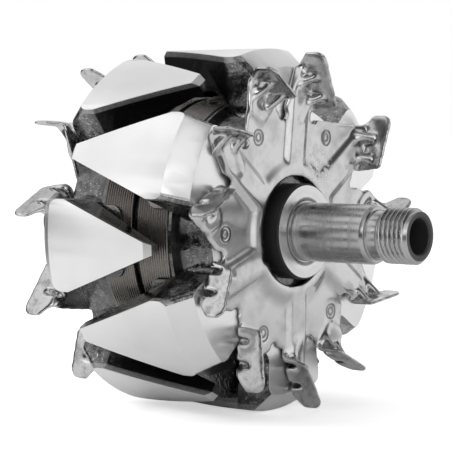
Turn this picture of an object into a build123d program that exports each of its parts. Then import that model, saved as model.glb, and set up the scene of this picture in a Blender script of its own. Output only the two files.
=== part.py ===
from build123d import *
import math
import os
from typing import NamedTuple

os.makedirs("parts", exist_ok=True)

# Alternator rotor, claw-pole type. Millimetres.
# X runs along the shaft towards the pulley end and Z is up. The origin is on
# the shaft axis, midway between the outer faces of the two claw poles.
# Angles are in degrees, from +Y towards +Z, as seen from the pulley end.

# Claw poles
pack_half_length = 26.3
claw_count = 6
first_claw_angle = 93.7
claw_radius = 53.1
claw_length = 41.2
claw_root_half_width = 13.5
claw_tip_half_width = 2.3
straight_flank_length = 5.2
flank_draft = 6.0
tip_bevel_length = 1.7
tip_bevel_drop = 1.5
tip_thickness = 4.4
winding_clearance = 1.2
web_thickness = 13.1
valley_radius = 36.5
valley_fillet = 4.0
valley_edge_margin = 0.05
shoulder_length = 6.15
shoulder_drop = 5.3
shoulder_corner_radius = 2.2

# Core, bobbin and winding between the pole webs
pack_bore_radius = 9.0
core_radius = 25.0
bobbin_wall = 1.2
winding_radius = 39.0
winding_split_width = 2.0
winding_split_depth = 1.4
flange_rim = 0.5
petal_thickness = 0.8
petal_length = 9.0
petal_half_width = 10.5
petal_corner_radius = 4.0

# Fans, pressed from one blank shape; the rear one is its mirror image, turned
sheet_thickness = 1.2
hub_hole_radius = 15.95
hub_notch_angle = 205.0
hub_notch_radius = 1.3
rib_rise = 1.5
hub_ring_radius = 18.6
hub_slope_width = 3.2
rib_slope_width = 2.2
rib_top_half_width = 3.2
rib_offset = 2.0
rib_hollow_end = 36.0
slit_radius = 34.4
slit_half_width = 1.35
slit_length = 5.8
blade_start_reach = 3.2
blade_edge_inset = 1.3
blade_height = 10.4
blade_inner_drop = 1.8
blade_bend_radius = 1.5
blade_inner_corner_radius = 1.6
blade_outer_corner_radius = 3.2
fold_relief = 3.6
fold_relief_height = 3.4
gusset_half_width = 1.35
gusset_edge_radius = 1.0
gusset_reach = 5.2
gusset_spacing = 6.6
gusset_wall = 1.6
gusset_dent_half_width = 0.8
rib_bead_half_width = 1.3
rib_bead_start = 32.4
rib_bead_rise = 0.6
pocket_width = 11.0
pocket_tip_width = 8.0
pocket_depth = 8.0
pocket_rise = 0.9
pocket_corner_radius = 2.2
pocket_dish_width = 4.4
pocket_dish_depth = 4.6
pocket_dish_corner_radius = 1.5
weld_mark_radius = 2.35
weld_mark_depth = 0.35
weld_button_radius = 1.2
weld_circle_radius = 32.0


class FanArm(NamedTuple):
    """One arm of the fan, from its slit to the next one.

    The angles are those of the slit and of the inner and outer corners of the
    blade's free edge. The steps are how much further out than usual those two
    corners lie, and the slant is how far the blade's inner end leans along its
    fold. A rib is given by the way it runs, past the axis at rib_offset.
    """

    slit: float
    inner: float
    outer: float
    inner_step: float
    outer_step: float
    slant: float
    rib: float | None
    has_pocket: bool


fan_arms = [
    FanArm(21.7, 27.1, 41.6, 0.4, -0.9, 1.0, 33.2, False),
    FanArm(71.3, 72.6, 88.1, -0.3, 0.4, 0.5, 83.4, False),
    FanArm(97.7, 103.0, 115.9, 2.3, 0.7, 2.7, None, True),
    FanArm(131.4, 135.8, 144.2, 2.8, 0.3, 2.7, 142.0, False),
    FanArm(154.7, 160.3, 172.9, 2.3, 0.7, 2.7, None, True),
    FanArm(189.5, 192.0, 205.0, 2.4, -1.2, 2.7, 198.7, False),
    FanArm(219.7, 224.5, 238.7, -0.7, 0.0, 0.5, None, True),
    FanArm(256.0, 263.8, 272.0, 0.7, 0.0, 2.7, 268.9, False),
    FanArm(285.7, 289.7, 301.8, 0.2, -1.3, 0.5, None, True),
    FanArm(321.3, 322.0, 335.6, 0.0, -2.1, 0.5, 326.2, False),
    FanArm(352.0, 356.0, 369.0, 0.4, 0.0, 1.0, None, True),
]
ribbed_arms = [arm for arm in fan_arms if arm.rib is not None]
weld_angles = [3.0, 57.5, 121.0, 179.0, 244.0, 308.5]

# Spacers on the shaft, from pole face to bearing
front_spacer_radius = 13.9
rear_spacer_radius = 12.0
spacer_length = 6.2
spacer_edge_chamfer = 0.5
spacer_bore_chamfer = 0.9

# Shaft
front_journal_radius = 8.5
front_journal_length = 24.8
journal_chamfer_length = 1.0
journal_chamfer_drop = 0.5
undercut_length = 3.5
undercut_radius = 7.1
thread_radius = 8.0
thread_length = 10.4
thread_start_chamfer = 0.5
shaft_end_chamfer = 1.0
socket_radius = 5.1
socket_depth = 16.0
socket_cone_depth = 2.4
rear_journal_radius = 7.5
rear_journal_length = 12.5
ring_seat_radius = 4.0

# Slip rings, their moulded carrier and the leads to the winding
carrier_radius = 5.9
carrier_collar_radius = 6.6
slip_ring_radius = 7.0
slip_ring_width = 6.4
collar_width = 2.2
leg_half_width = 1.7
leg_clearance = 0.3
bar_half_width = 0.8
bar_thickness = 1.0
bar_cover = 0.5
bar_slot_clearance = 0.3
lead_angles = [35.2, 271.7]
lead_wire_radius = 0.6
lead_sleeve_radius = 1.1
lead_groove_clearance = 0.15
lead_valley_clearance = 0.3
lead_turn_radius = 13.8
lead_bend_radius = 2.4
guide_thickness = 2.4
guide_inner_radius = 12.3
guide_outer_radius = 15.6

# Places worked out from the sizes above
pitch_angle = 360.0 / claw_count
rear_turn = -pitch_angle / 2
web_inner = pack_half_length - web_thickness
claw_face_end = pack_half_length - claw_length
claw_tip = claw_face_end - tip_bevel_length
underside_root_radius = winding_radius + petal_thickness + winding_clearance
shoulder_start = pack_half_length - shoulder_length
pad_front = pack_half_length + sheet_thickness
rib_front = pad_front + rib_rise
blade_tip = pad_front + blade_height
fold_setback = blade_bend_radius + sheet_thickness / 2
bend_centre = pad_front + blade_bend_radius
bend_outside = blade_bend_radius + sheet_thickness
spacer_end = pack_half_length + spacer_length
journal_end = spacer_end + front_journal_length
thread_start = journal_end + undercut_length
shaft_end = thread_start + thread_length
rear_journal_end = -spacer_end - rear_journal_length
carrier_end = rear_journal_end - 3 * collar_width - 2 * slip_ring_width
leg_top_radius = rear_journal_radius - leg_clearance
lead_plane = -pack_half_length + lead_sleeve_radius + lead_groove_clearance
lead_rise_radius = valley_radius + lead_sleeve_radius + lead_valley_clearance
bar_plane = -spacer_end + bar_slot_clearance + bar_thickness
lead_groove_end = bar_plane + bar_slot_clearance
bar_top = carrier_radius - bar_cover
bar_end_radius = lead_turn_radius + lead_wire_radius + bar_thickness
sleeve_end = -pack_half_length - guide_thickness - bar_slot_clearance


def radial(radius, angle, x=0.0):
    """Point at a radius and angle about the shaft axis."""
    turn = math.radians(angle)
    return Vector(x, radius * math.cos(turn), radius * math.sin(turn))


def turned(corners):
    """Solid of revolution about the shaft axis, from (x, radius) corners."""
    return revolve(make_face(Polyline(*corners, close=True)), Axis.X)


def ring(inner_radius, outer_radius, start, end):
    """Plain ring about the shaft axis."""
    return turned([(start, inner_radius), (start, outer_radius), (end, outer_radius), (end, inner_radius)])


def radial_plane(angle):
    """Plane on the axis, facing outwards at an angle, with its own x along X."""
    return Plane(origin=(0, 0, 0), x_dir=(1, 0, 0), z_dir=radial(1.0, angle))


def around(shape, angles):
    """Copies of a shape made at angle 0, one at each angle about the shaft."""
    return [shape.rotate(Axis.X, angle) for angle in angles]


def flank_plane(x, half_width, slope, side):
    """Drafted plane of one claw flank at angle 0, facing away from the claw."""
    draft = math.radians(flank_draft)
    across = Vector(-slope, 0, side).normalized() * math.cos(draft)
    return Plane(origin=(x, claw_radius, side * half_width), z_dir=across - Vector(0, math.sin(draft), 0))


def single_claw():
    """One claw at angle 0: a turned cup cut down by four drafted flanks."""
    claw = turned([
        (web_inner, pack_bore_radius),
        (web_inner, underside_root_radius),
        (claw_tip, claw_radius - tip_thickness),
        (claw_tip, claw_radius - tip_bevel_drop),
        (claw_face_end, claw_radius),
        (shoulder_start, claw_radius),
        (pack_half_length, claw_radius - shoulder_drop),
        (pack_half_length, pack_bore_radius),
    ])
    claw = split(claw, bisect_by=Plane.XZ.offset(-core_radius), keep=Keep.BOTTOM)
    taper_start = shoulder_start - straight_flank_length
    slope = (claw_root_half_width - claw_tip_half_width) / (taper_start - claw_face_end)
    for side in (-1, 1):
        root_flank = flank_plane(taper_start, claw_root_half_width, 0.0, side)
        claw = split(claw, bisect_by=root_flank, keep=Keep.BOTTOM)
        taper_flank = flank_plane(claw_face_end, claw_tip_half_width, slope, side)
        claw = split(claw, bisect_by=taper_flank, keep=Keep.BOTTOM)
    corners = claw.edges().filter_by(
        lambda edge: shoulder_start < edge.center().X < pack_half_length
        and abs(edge.center().Z) > claw_root_half_width / 2
        and edge.center().Y > claw_radius - 2 * shoulder_drop
    )
    return fillet(corners, shoulder_corner_radius)


def claw_pole():
    """Front claw pole: a bored disc with its claws, the valleys rounded out."""
    pole = ring(pack_bore_radius, valley_radius, web_inner, pack_half_length)
    claw_angles = [first_claw_angle + pitch_angle * index for index in range(claw_count)]
    for claw in around(single_claw(), claw_angles):
        pole += claw
    valley_edges = pole.edges().filter_by(Axis.X).filter_by(
        lambda edge: abs(math.hypot(edge.center().Y, edge.center().Z) - valley_radius) < valley_edge_margin
    )
    return fillet(valley_edges, valley_fillet)


def lead_groove(angle):
    """Radial groove across the rear pole face for one lead."""
    width = 2 * (lead_sleeve_radius + lead_groove_clearance)
    length = claw_radius - pack_bore_radius
    box = Box(width, width, length, align=(Align.MIN, Align.CENTER, Align.MIN))
    place = Plane(
        origin=radial(lead_turn_radius - width / 2, angle, -pack_half_length),
        x_dir=(1, 0, 0),
        z_dir=radial(1.0, angle),
    )
    return place * box


def petal():
    """One tongue of the bobbin at angle 0, lying under a front claw."""
    tongue = ring(winding_radius, winding_radius + petal_thickness, web_inner - petal_length, web_inner)
    width = 2 * petal_half_width
    length = petal_length + petal_corner_radius
    middle = web_inner - petal_length + length / 2
    shape = Pos(middle, 0) * RectangleRounded(length, width, petal_corner_radius)
    cutter = extrude(radial_plane(0.0) * shape, amount=claw_radius)
    return tongue & cutter


def coil_bobbin():
    """Moulded bobbin: tube, two flanges and the tongues under the claws."""
    hub_radius = core_radius + bobbin_wall
    rim_radius = winding_radius - flange_rim
    bobbin = ring(core_radius, hub_radius, -web_inner, web_inner)
    front = ring(core_radius, rim_radius, web_inner - bobbin_wall, web_inner)
    sector = 2 * math.degrees(math.asin(petal_half_width / winding_radius))
    claw_angles = [first_claw_angle + pitch_angle * index for index in range(claw_count)]
    corner = revolve(
        make_face(Polyline(
            (web_inner - bobbin_wall, core_radius + bobbin_wall),
            (web_inner - bobbin_wall, winding_radius + petal_thickness),
            (web_inner, winding_radius + petal_thickness),
            (web_inner, core_radius + bobbin_wall),
            close=True,
        )),
        Axis.X,
        revolution_arc=sector,
    ).rotate(Axis.X, -sector / 2)
    for piece in around(corner + petal(), claw_angles):
        front += piece
    return bobbin + front + mirrored(front)


def field_winding():
    """Wound field coil, with the open band round its middle."""
    inner = core_radius + bobbin_wall
    half = web_inner - bobbin_wall
    half_split = winding_split_width / 2
    return turned([
        (-half, inner),
        (-half, winding_radius),
        (-half_split, winding_radius),
        (-half_split, winding_radius - winding_split_depth),
        (half_split, winding_radius - winding_split_depth),
        (half_split, winding_radius),
        (half, winding_radius),
        (half, inner),
    ])


def mirrored(shape):
    """The rear twin of a front piece, turned half a claw pitch."""
    return shape.mirror(Plane.YZ).rotate(Axis.X, rear_turn)


def fold_frame(arm, setback=fold_setback):
    """Start, direction, outward normal and length of an arm's fold.

    The fold lies inside the middle of its blade's sheet by the setback. Its
    length is that of the blade, whose outer end stands free by the relief.
    """
    inner = radial(slit_radius + blade_start_reach + arm.inner_step, arm.inner)
    outer = radial(claw_radius - blade_edge_inset + arm.outer_step, arm.outer)
    along = (outer - inner).normalized()
    outward = Vector(0, along.Z, -along.Y)
    start = inner - along * arm.slant
    return start - outward * setback, along, outward, (outer - start).length


def fold_middle(arm):
    """Middle of the folded stretch of an arm."""
    start, along, outward, length = fold_frame(arm)
    return start + along * ((length - fold_relief) / 2)


def fan_outline(setback):
    """Flat outline of the fan, arm by arm, out to a line inside its blades."""
    corners = []
    for arm in fan_arms:
        start, along, outward, length = fold_frame(arm, setback)
        corners += [radial(slit_radius, arm.slit), start, start + along * (length - fold_relief)]
    outline = make_face(Polyline(*corners, close=True))
    slit = Circle(slit_half_width) + Pos(slit_length / 2, 0) * Rectangle(slit_length, 2 * slit_half_width)
    for arm in fan_arms:
        place = Plane(origin=radial(slit_radius, arm.slit), x_dir=radial(1.0, arm.slit), z_dir=(1, 0, 0))
        outline -= place * slit
    return Plane.YZ.offset(pack_half_length) * Plane.YZ.to_local_coords(outline)


def rib_section(low, high):
    """Trapezoid across a rib, from its foot at low to its top at high."""
    foot = rib_top_half_width + rib_slope_width
    return make_face(Polyline(
        (low, -foot), (high, -rib_top_half_width), (high, rib_top_half_width), (low, foot), close=True
    ))


def ridges(low, high, end_radius):
    """Hub ring and ribs standing from one height to another."""
    ring_foot = hub_ring_radius + hub_slope_width
    shape = turned([
        (low, hub_hole_radius), (high, hub_hole_radius), (high, hub_ring_radius), (low, ring_foot)
    ])
    start = (hub_hole_radius + hub_ring_radius) / 2
    section = radial_plane(0.0).offset(start) * rib_section(low, high)
    rib = Pos(0, 0, rib_offset) * extrude(section, amount=end_radius - start)
    for piece in around(rib, [arm.rib for arm in ribbed_arms]):
        shape += piece
    return shape


def fan_blade(arm):
    """Blade folded up from an arm, its free edge and outer end cut to shape."""
    start, along, outward, length = fold_frame(arm)
    section = make_face(
        CenterArc((0, bend_centre), blade_bend_radius, -90, 90)
        + Polyline(
            (blade_bend_radius, bend_centre), (blade_bend_radius, blade_tip),
            (bend_outside, blade_tip), (bend_outside, bend_centre),
        )
        + CenterArc((0, bend_centre), bend_outside, -90, 90)
        + Line((0, pack_half_length), (0, pad_front))
    )
    end = start + along * length
    folded = extrude(Plane(origin=end, x_dir=outward, z_dir=-along) * section, amount=length)
    relief_top = pad_front + fold_relief_height
    fold_end = length - fold_relief
    side = make_face(
        FilletPolyline(
            (0, pad_front), (arm.slant, blade_tip - blade_inner_drop),
            (length, blade_tip), (length, relief_top),
            radius=[blade_inner_corner_radius, blade_outer_corner_radius],
        )
        + Polyline((length, relief_top), (fold_end, pad_front), (fold_end, 0), (0, 0), (0, pad_front))
    )
    trim_plane = Plane(origin=start, x_dir=along, z_dir=outward)
    return folded & extrude(trim_plane * side, amount=blade_height, both=True)


def across_fold(arm, section, half_width):
    """Two bars across a fold, one each side of its middle, from their section."""
    start, along, outward, length = fold_frame(arm)
    bars = []
    for side in (-1, 1):
        edge = fold_middle(arm) + along * (side * gusset_spacing / 2 + half_width)
        bars.append(extrude(Plane(origin=edge, x_dir=outward, z_dir=-along) * section, amount=2 * half_width))
    return bars


def gussets(arm):
    """Two rounded webs pressed across the inside of a fold."""
    half_sheet = sheet_thickness / 2
    foot = Vector(-gusset_reach, pad_front - half_sheet)
    head = Vector(fold_setback, bend_centre + gusset_reach)
    section = make_face(Polyline(foot, head, (bend_outside, bend_centre), (0, pack_half_length), close=True))
    slope = (head - foot).length
    webs = across_fold(arm, section, gusset_half_width)
    longest = [web.edges().filter_by(lambda edge: edge.length > slope - half_sheet) for web in webs]
    return [fillet(edges, gusset_edge_radius) for edges in longest]


def gusset_dents(arm):
    """Cutters for the hollows that the gussets leave in the outside of a fold."""
    reach = gusset_reach + sheet_thickness / 2 - gusset_wall * math.sqrt(2.0)
    section = make_face(Polyline(
        (-reach, pack_half_length),
        (bend_outside, pack_half_length),
        (bend_outside, bend_centre + reach),
        close=True,
    ))
    return across_fold(arm, section, gusset_dent_half_width)


def pressed_edge(inner_width, outer_width, depth, corner_radius):
    """Rounded tongue shape that runs inwards from a fold at y 0."""
    wide = inner_width / 2
    narrow = outer_width / 2
    return make_face(
        FilletPolyline((-wide, 0), (-narrow, -depth), (narrow, -depth), (wide, 0), radius=corner_radius)
        + Line((wide, 0), (-wide, 0))
    )


def arm_pocket(arm):
    """Raised loop pressed into a pad, open to the middle of its fold."""
    start, along, outward, length = fold_frame(arm)
    loop = pressed_edge(pocket_width, pocket_tip_width, pocket_depth, pocket_corner_radius)
    loop -= pressed_edge(pocket_dish_width, pocket_dish_width, pocket_dish_depth, pocket_dish_corner_radius)
    place = Plane(origin=fold_middle(arm) + Vector(pack_half_length, 0, 0), x_dir=-along, z_dir=(1, 0, 0))
    return extrude(place * loop, amount=sheet_thickness + pocket_rise)


def rib_bead(arm):
    """Small raised bead from the top of a rib to the first gusset of its fold."""
    start, along, outward, length = fold_frame(arm)
    bead_end = fold_middle(arm) - along * (gusset_spacing / 2)
    skew = math.degrees(math.asin(rib_offset / rib_bead_start))
    bead_start = radial(rib_bead_start, arm.rib + skew)
    run = bead_end - bead_start
    height = Vector(rib_front - sheet_thickness, 0, 0)
    place = Plane(origin=(bead_start + bead_end) * 0.5 + height, x_dir=run, z_dir=(1, 0, 0))
    slot = SlotCenterToCenter(run.length, 2 * rib_bead_half_width)
    return extrude(place * slot, amount=sheet_thickness + rib_bead_rise)


def weld_mark():
    """Ring left round a weld on a pad at angle 0, as a cutter."""
    place = Plane(origin=(pad_front, weld_circle_radius, 0), x_dir=(0, 1, 0), z_dir=(-1, 0, 0))
    return extrude(place * (Circle(weld_mark_radius) - Circle(weld_button_radius)), amount=weld_mark_depth)


def front_fan():
    """Pressed fan: flat pads, raised hub ring and ribs, folded blades."""
    raised = ridges(pad_front, rib_front, claw_radius - blade_edge_inset)
    raised &= extrude(fan_outline(0.0), amount=sheet_thickness + rib_rise)
    fan = extrude(fan_outline(fold_setback), amount=sheet_thickness) + raised
    fan -= ridges(pack_half_length, rib_front - sheet_thickness, rib_hollow_end)
    for arm in ribbed_arms:
        fan += rib_bead(arm)
    for arm in fan_arms:
        fan += fan_blade(arm)
        fan += gussets(arm)
        fan -= gusset_dents(arm)
        if arm.has_pocket:
            fan += arm_pocket(arm)
    fan -= around(weld_mark(), weld_angles)
    fan -= ring(0.0, hub_hole_radius, pack_half_length, blade_tip)
    notch_centre = radial(hub_hole_radius, hub_notch_angle, pack_half_length)
    notch = Plane(origin=notch_centre, x_dir=(0, 1, 0), z_dir=(1, 0, 0)) * Circle(hub_notch_radius)
    return fan - extrude(notch, amount=blade_height)


def spacer(outer_radius):
    """Turned collar between the front pole face and its bearing."""
    start = pack_half_length
    return turned([
        (start, pack_bore_radius),
        (start, outer_radius),
        (spacer_end - spacer_edge_chamfer, outer_radius),
        (spacer_end, outer_radius - spacer_edge_chamfer),
        (spacer_end, pack_bore_radius + spacer_bore_chamfer),
        (spacer_end - spacer_bore_chamfer, pack_bore_radius),
    ])


def lead_box(inner_radius, outer_radius, half_width, start, end, angle):
    """Straight bar along the shaft, at a radius and angle."""
    height = outer_radius - inner_radius
    box = Box(end - start, 2 * half_width, height, align=(Align.MIN, Align.CENTER, Align.MIN))
    place = Plane(origin=radial(inner_radius, angle, start), x_dir=(1, 0, 0), z_dir=radial(1.0, angle))
    return place * box


def rear_spacer():
    """Rear collar, slotted for the two conductor bars."""
    collar = spacer(rear_spacer_radius).mirror(Plane.YZ)
    slot_start = bar_plane - bar_thickness - bar_slot_clearance
    for angle in lead_angles:
        collar -= lead_box(
            ring_seat_radius, bar_end_radius, bar_half_width + bar_slot_clearance,
            slot_start, lead_groove_end, angle,
        )
    return collar


def shaft():
    """Turned shaft with its socket, undercut and the two lead grooves."""
    body = turned([
        (carrier_end, 0.0),
        (carrier_end, ring_seat_radius),
        (rear_journal_end, ring_seat_radius),
        (rear_journal_end, rear_journal_radius - journal_chamfer_drop),
        (rear_journal_end + journal_chamfer_length, rear_journal_radius),
        (-spacer_end, rear_journal_radius),
        (-spacer_end, pack_bore_radius),
        (spacer_end, pack_bore_radius),
        (spacer_end, front_journal_radius),
        (journal_end - journal_chamfer_length, front_journal_radius),
        (journal_end, front_journal_radius - journal_chamfer_drop),
        (journal_end, undercut_radius),
        (thread_start, undercut_radius),
        (thread_start + thread_start_chamfer, thread_radius),
        (shaft_end - shaft_end_chamfer, thread_radius),
        (shaft_end, thread_radius - shaft_end_chamfer),
        (shaft_end, 0.0),
    ])
    body -= turned([
        (shaft_end, 0.0),
        (shaft_end, socket_radius),
        (shaft_end - socket_depth, socket_radius),
        (shaft_end - socket_depth - socket_cone_depth, 0.0),
    ])
    for angle in lead_angles:
        body -= lead_box(
            ring_seat_radius, pack_bore_radius, leg_half_width, rear_journal_end, lead_groove_end, angle
        )
    return body


def conductor_bar(angle, ring_middle):
    """Flat bar from under a slip ring to the hook where its lead ends."""
    tab_end = ring_middle + bar_thickness
    run = lead_box(bar_top - bar_thickness, bar_top, bar_half_width, ring_middle, bar_plane, angle)
    contact = lead_box(bar_top, carrier_radius, bar_half_width, ring_middle, tab_end, angle)
    contact &= ring(0.0, carrier_radius, ring_middle, tab_end)
    riser = lead_box(bar_top, bar_end_radius, bar_half_width, bar_plane - bar_thickness, bar_plane, angle)
    hook_base = bar_end_radius - bar_thickness
    hook = lead_box(hook_base, bar_end_radius, bar_half_width, bar_plane, bar_plane + bar_thickness, angle)
    return run + contact + riser + hook


def slip_ring_carrier(bars):
    """Moulded sleeve on the shaft end, with a leg in each shaft groove."""
    rings_start = rear_journal_end - collar_width
    body = ring(ring_seat_radius, carrier_radius, carrier_end, rear_journal_end)
    collar_steps = slip_ring_width + collar_width
    for index in range(3):
        start = rings_start - index * collar_steps
        body += ring(ring_seat_radius, carrier_collar_radius, start, start + collar_width)
    for angle in lead_angles:
        body += lead_box(
            ring_seat_radius, leg_top_radius, leg_half_width,
            rear_journal_end, bar_plane - bar_thickness, angle,
        )
    for bar in bars:
        body -= bar
    return body


def slip_ring(index):
    """Copper slip ring, counted from the journal outwards."""
    end = rear_journal_end - collar_width - index * (slip_ring_width + collar_width)
    return ring(carrier_radius, slip_ring_radius, end - slip_ring_width, end)


def lead_path(angle, end):
    """Route of a lead: out of the coil, down the pole face and away from it."""
    return FilletPolyline(
        radial(lead_rise_radius, angle, -web_inner),
        radial(lead_rise_radius, angle, lead_plane),
        radial(lead_turn_radius, angle, lead_plane),
        radial(lead_turn_radius, angle, end),
        radius=lead_bend_radius,
    )


def swept_round(path, radius):
    """Round bar along a path."""
    start = Plane(origin=path @ 0, z_dir=path % 0)
    return sweep(start * Circle(radius), path=path)


def lead_guide():
    """Moulded ring on the rear pole face that holds the two lead bends."""
    face = -pack_half_length
    guide = ring(guide_inner_radius, guide_outer_radius, face - guide_thickness, face)
    for angle in lead_angles:
        guide -= swept_round(lead_path(angle, sleeve_end), lead_sleeve_radius + lead_groove_clearance)
    return guide


core = ring(pack_bore_radius, core_radius, -web_inner, web_inner)
front_pole = claw_pole()
rear_pole = mirrored(front_pole)
for lead_angle in lead_angles:
    rear_pole -= lead_groove(lead_angle)
    rear_pole -= swept_round(lead_path(lead_angle, sleeve_end), lead_sleeve_radius + lead_groove_clearance)

fan = front_fan()
bars = [
    conductor_bar(angle, slip_ring(index).center().X)
    for index, angle in enumerate(lead_angles)
]

nodes = {
    "shaft": shaft(),
    "pole_core": core,
    "front_claw_pole": front_pole,
    "rear_claw_pole": rear_pole,
    "coil_bobbin": coil_bobbin(),
    "field_winding": field_winding(),
    "front_fan": fan,
    "rear_fan": mirrored(fan),
    "front_spacer": spacer(front_spacer_radius),
    "rear_spacer": rear_spacer(),
    "slip_ring_carrier": slip_ring_carrier(bars),
    "inner_slip_ring": slip_ring(0),
    "outer_slip_ring": slip_ring(1),
    "inner_ring_bar": bars[0],
    "outer_ring_bar": bars[1],
    "lead_guide": lead_guide(),
}

for name, lead_angle in zip(("start", "finish"), lead_angles):
    wire = swept_round(lead_path(lead_angle, bar_plane), lead_wire_radius)
    nodes[name + "_lead_wire"] = wire
    nodes[name + "_lead_sleeve"] = swept_round(lead_path(lead_angle, sleeve_end), lead_sleeve_radius) - wire

for name, solid in nodes.items():
    export_step(solid, os.path.join("parts", name + ".step"))
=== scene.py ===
"""Looks of a claw-pole alternator rotor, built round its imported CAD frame.

Lengths in the classes are millimetres and meshes are metres. X runs along the
shaft towards the pulley end and Z is up. Angles are degrees, and those round
the shaft are counted from +Y towards +Z.
"""

import logging
import math
from dataclasses import dataclass
from enum import Enum
from typing import Any

import bmesh
import bpy
from mathutils import Matrix, Vector

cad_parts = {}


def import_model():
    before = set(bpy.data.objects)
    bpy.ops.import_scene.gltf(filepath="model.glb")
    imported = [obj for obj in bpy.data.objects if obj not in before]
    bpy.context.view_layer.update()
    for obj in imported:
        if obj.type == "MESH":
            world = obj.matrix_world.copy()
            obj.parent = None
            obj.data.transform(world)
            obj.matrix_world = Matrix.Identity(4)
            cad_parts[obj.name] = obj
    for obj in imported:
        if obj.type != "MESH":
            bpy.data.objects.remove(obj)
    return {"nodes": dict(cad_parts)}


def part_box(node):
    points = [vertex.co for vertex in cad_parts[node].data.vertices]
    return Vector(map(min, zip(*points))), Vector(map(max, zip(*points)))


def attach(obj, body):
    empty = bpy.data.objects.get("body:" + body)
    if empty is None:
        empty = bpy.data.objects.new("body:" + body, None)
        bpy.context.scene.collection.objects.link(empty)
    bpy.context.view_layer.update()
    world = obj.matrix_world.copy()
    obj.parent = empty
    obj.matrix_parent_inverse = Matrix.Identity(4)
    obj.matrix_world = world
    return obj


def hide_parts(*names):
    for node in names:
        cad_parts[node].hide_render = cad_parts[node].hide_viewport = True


LOG = logging.getLogger("rotor")
MM = 0.001
BODY = "root"
LATHE_MERGE = 1e-7
CAD_MERGE = 1e-6
FLAT_ANGLE = 0.6
SWING = (0.3, 0.7)
CLAW_PITCH = 60.0

Nodes = dict[str, bpy.types.Object]
Profile = list[tuple[float, float]]
Corners = list[tuple[float, float, float]]
Span = tuple[float, float]


class Side(Enum):
    """End of the rotor that a piece belongs to, as the sign of its X."""

    FRONT = 1
    REAR = -1


@dataclass(frozen=True)
class Grain:
    """Noise over a surface, and the levels between which it comes to cover it."""

    waves: float
    detail: float = 3.0
    rough: float = 0.5
    covers: Span = SWING


class Number:
    """Number socket of a shader graph that Python's operators work on."""

    def __init__(self, graph: "Graph", socket: bpy.types.NodeSocket) -> None:
        """Keeps the graph and the socket."""
        self.graph = graph
        self.socket = socket

    def _math(self, operation: str, *values: Any) -> "Number":
        """Adds a Math node with its inputs in order."""
        return self.graph.number("ShaderNodeMath", {"operation": operation}, dict(enumerate(values)))

    def __add__(self, other: Any) -> "Number":
        """Sum."""
        return self._math("ADD", self, other)

    __radd__ = __add__

    def __sub__(self, other: Any) -> "Number":
        """Difference."""
        return self._math("SUBTRACT", self, other)

    def __rsub__(self, other: Any) -> "Number":
        """Difference the other way round."""
        return self._math("SUBTRACT", other, self)

    def __mul__(self, other: Any) -> "Number":
        """Product."""
        return self._math("MULTIPLY", self, other)

    __rmul__ = __mul__

    def __abs__(self) -> "Number":
        """Size without sign."""
        return self._math("ABSOLUTE", self)

    def least(self, other: Any) -> "Number":
        """Smaller of this and another value."""
        return self._math("MINIMUM", self, other)

    def most(self, other: Any) -> "Number":
        """Larger of this and another value."""
        return self._math("MAXIMUM", self, other)

    def root(self) -> "Number":
        """Square root."""
        return self._math("SQRT", self)

    def wave(self) -> "Number":
        """Sine of the value in radians."""
        return self._math("SINE", self)

    def swing(self, low: float, high: float) -> "Number":
        """Step between two results over the middle of a noise."""
        return self.ramp(*SWING, low, high)

    def ramp(self, start: float, end: float, low: float = 0.0, high: float = 1.0) -> "Number":
        """Smooth step between two values.

        Args:
            start: Value where the result is low.
            end: Value where the result is high.
            low: Result at the start.
            high: Result at the end.

        Returns:
            The step, held flat outside its ends.
        """
        return self.graph.number(
            "ShaderNodeMapRange",
            {"interpolation_type": "SMOOTHSTEP", "clamp": True},
            {"Value": self, "From Min": start, "From Max": end, "To Min": low, "To Max": high},
        )


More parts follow.
